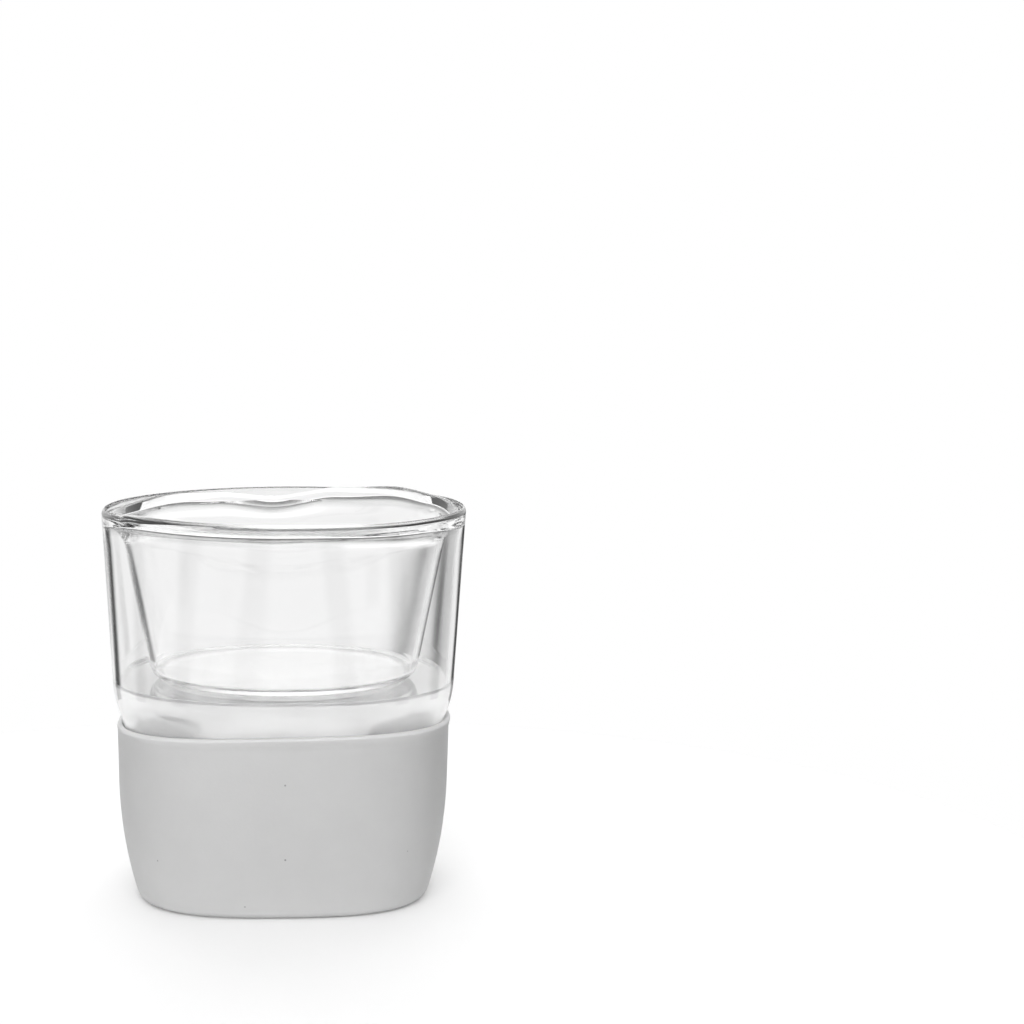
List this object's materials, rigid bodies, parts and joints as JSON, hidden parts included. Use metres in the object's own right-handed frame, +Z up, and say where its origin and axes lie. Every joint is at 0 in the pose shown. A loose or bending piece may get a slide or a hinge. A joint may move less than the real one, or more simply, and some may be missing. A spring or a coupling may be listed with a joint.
{
  "type": "double-wall spirit glass",
  "caption": "Double-wall spirit glass with a round rim and a rounded-square body: a conical cup fused at the rim, clear cooling gel in the cavity and a grey silicone sleeve.",
  "frame": {"origin": "centre of the sleeve's foot, on the surface that the glass stands on", "axes": "+Z up along the axis of the glass, towards the rim; -Y is the front, one of the four flat faces of the body"},
  "size_m": [0.088, 0.088, 0.094],
  "materials": {
    "clear_glass": "polished",
    "clear_gel": "clear liquid",
    "plug_silicone": "satin",
    "grey_silicone": "matte"
  },
  "bodies": {
    "sleeve": {"silicone_sleeve": "grey_silicone"},
    "glass": {"outer_glass": "clear_glass", "inner_glass": "clear_glass", "cooling_gel": "clear_gel", "fill_plug": "plug_silicone"}
  },
  "joints": [
    {"name": "glass_lift", "type": "slide", "parent": "sleeve", "child": "glass", "axis": [0, 0, 1], "range_m": [0, 0.05]}
  ]
}
